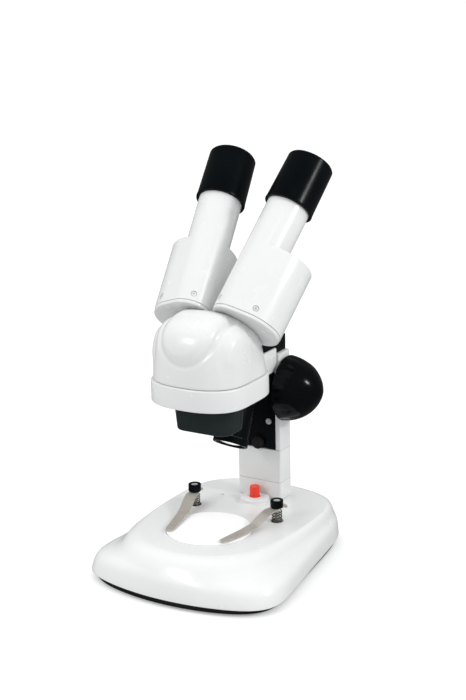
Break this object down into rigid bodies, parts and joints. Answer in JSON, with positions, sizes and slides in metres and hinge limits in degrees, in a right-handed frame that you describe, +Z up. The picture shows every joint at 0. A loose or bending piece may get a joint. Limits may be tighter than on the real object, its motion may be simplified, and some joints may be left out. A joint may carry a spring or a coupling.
{
  "type": "stereo microscope",
  "caption": "Child's stereo microscope: moulded base with round stage plate and sprung clips, square pillar, side focus knobs, rounded head and inclined eyepieces.",
  "frame": {"origin": "middle of the bounding box in X and Y, on the table at Z = 0", "axes": "+Z up; +X to the right of the user who looks into the front of the base, -Y is the front edge of the base, the eyepieces lean back to +Y"},
  "size_m": [0.1488, 0.1782, 0.2873],
  "materials": {
    "white_plastic": "moulded, glossy",
    "black_satin_plastic": "moulded, satin",
    "black_gloss_plastic": "moulded, polished",
    "black_matte_plastic": "moulded, matte",
    "black_rubber": "matte",
    "brass_metal": "brass, machined",
    "red_plastic": "moulded, glossy",
    "clear_glass": "clear, polished",
    "bright_steel": "brushed"
  },
  "bodies": {
    "stand": {"base_plate": "black_matte_plastic", "base_screw_front": "bright_steel", "base_screw_rear": "bright_steel", "base_shell": "white_plastic", "battery_box": "black_matte_plastic", "battery_door": "black_matte_plastic", "channel_screw_left": "bright_steel", "channel_screw_right": "bright_steel", "clip_post_left": "bright_steel", "clip_post_right": "bright_steel", "foot_front_left": "black_rubber", "foot_front_right": "black_rubber", "foot_rear_left": "black_rubber", "foot_rear_right": "black_rubber", "pillar_block": "white_plastic", "pillar_bolt_left": "bright_steel", "pillar_bolt_right": "bright_steel", "pillar_channel": "white_plastic", "pillar_foot": "white_plastic", "shaft_bush_left": "brass_metal", "shaft_bush_right": "brass_metal", "stage_plate": "white_plastic", "switch_body": "black_matte_plastic"},
    "power_button": {"power_button": "red_plastic"},
    "head": {"focus_carriage": "black_satin_plastic", "focus_rack": "brass_metal", "carriage_screw_left": "bright_steel", "carriage_screw_right": "bright_steel", "carriage_bumper": "black_rubber", "head_ring": "white_plastic", "head_dome": "white_plastic", "head_screw": "bright_steel", "objective_housing": "black_satin_plastic", "objective_lens_left": "clear_glass", "objective_lens_right": "clear_glass", "lamp_body": "black_satin_plastic", "lamp_bezel": "black_satin_plastic", "lamp_lens": "clear_glass"},
    "focus_drive": {"focus_shaft": "bright_steel", "focus_pinion": "brass_metal", "focus_knob_left": "black_gloss_plastic", "focus_knob_right": "black_gloss_plastic"},
    "clip_turn_left": {"clip_spring_left": "bright_steel", "clip_knob_left": "black_satin_plastic"},
    "clip_turn_right": {"clip_spring_right": "bright_steel", "clip_knob_right": "black_satin_plastic"},
    "clip_strip_left": {"stage_clip_left": "bright_steel"},
    "clip_strip_right": {"stage_clip_right": "bright_steel"},
    "ocular_left": {"prism_housing_left": "white_plastic", "prism_cover_left": "white_plastic", "porro_prism_left": "clear_glass"},
    "ocular_right": {"prism_housing_right": "white_plastic", "prism_cover_right": "white_plastic", "porro_prism_right": "clear_glass"},
    "eyepiece_left": {"eyepiece_left": "black_satin_plastic", "eye_lens_left": "clear_glass"},
    "eyepiece_right": {"eyepiece_right": "black_satin_plastic", "eye_lens_right": "clear_glass"}
  },
  "joints": [
    {"name": "button_press", "type": "slide", "parent": "stand", "child": "power_button", "axis": [0, 0, -1], "range_m": [0, 0.0015], "stiffness_N_per_m": 500, "springref_m": -0.001},
    {"name": "focus_slide", "type": "slide", "parent": "stand", "child": "head", "axis": [0, 0, 1], "range_m": [0, 0.03]},
    {"name": "focus_turn", "type": "hinge", "parent": "stand", "child": "focus_drive", "pos_m": [0, 0.05355, 0.1162], "axis": [-1, 0, 0], "range_deg": [0, 491.3]},
    {"name": "clip_swivel_left", "type": "hinge", "parent": "stand", "child": "clip_turn_left", "pos_m": [-0.034, 0.0109, 0.0412], "axis": [0, 0, 1], "range_deg": [-60, 15]},
    {"name": "clip_swivel_right", "type": "hinge", "parent": "stand", "child": "clip_turn_right", "pos_m": [0.034, 0.0109, 0.0412], "axis": [0, 0, -1], "range_deg": [-60, 15]},
    {"name": "clip_lift_left", "type": "hinge", "parent": "clip_turn_left", "child": "clip_strip_left", "pos_m": [-0.03298, 0.00642, 0.0421], "axis": [-0.9749, -0.2227, 0], "range_deg": [0, 7], "stiffness_Nm_per_rad": 0.08, "springref_deg": -17.19, "deforming": ["clip_spring_left"]},
    {"name": "clip_lift_right", "type": "hinge", "parent": "clip_turn_right", "child": "clip_strip_right", "pos_m": [0.03298, 0.00642, 0.0421], "axis": [-0.9749, 0.2227, 0], "range_deg": [0, 7], "stiffness_Nm_per_rad": 0.08, "springref_deg": -17.19, "deforming": ["clip_spring_right"]},
    {"name": "eye_spacing_left", "type": "hinge", "parent": "head", "child": "ocular_left", "pos_m": [-0.01218, -0.00445, 0.17364], "axis": [0.1115, -0.6777, -0.7268], "range_deg": [-4, 20]},
    {"name": "eye_spacing_right", "type": "hinge", "parent": "head", "child": "ocular_right", "pos_m": [0.01218, -0.00445, 0.17364], "axis": [0.1115, 0.6777, 0.7268], "range_deg": [-4, 20]},
    {"name": "eyepiece_out_left", "type": "slide", "parent": "ocular_left", "child": "eyepiece_left", "axis": [-0.1115, 0.6777, 0.7268], "range_m": [0, 0.028]},
    {"name": "eyepiece_out_right", "type": "slide", "parent": "ocular_right", "child": "eyepiece_right", "axis": [0.1115, 0.6777, 0.7268], "range_m": [0, 0.028]}
  ],
  "couplings": [
    {"joint": "focus_turn", "follows": "focus_slide", "rad_per_m": 285.71}
  ]
}
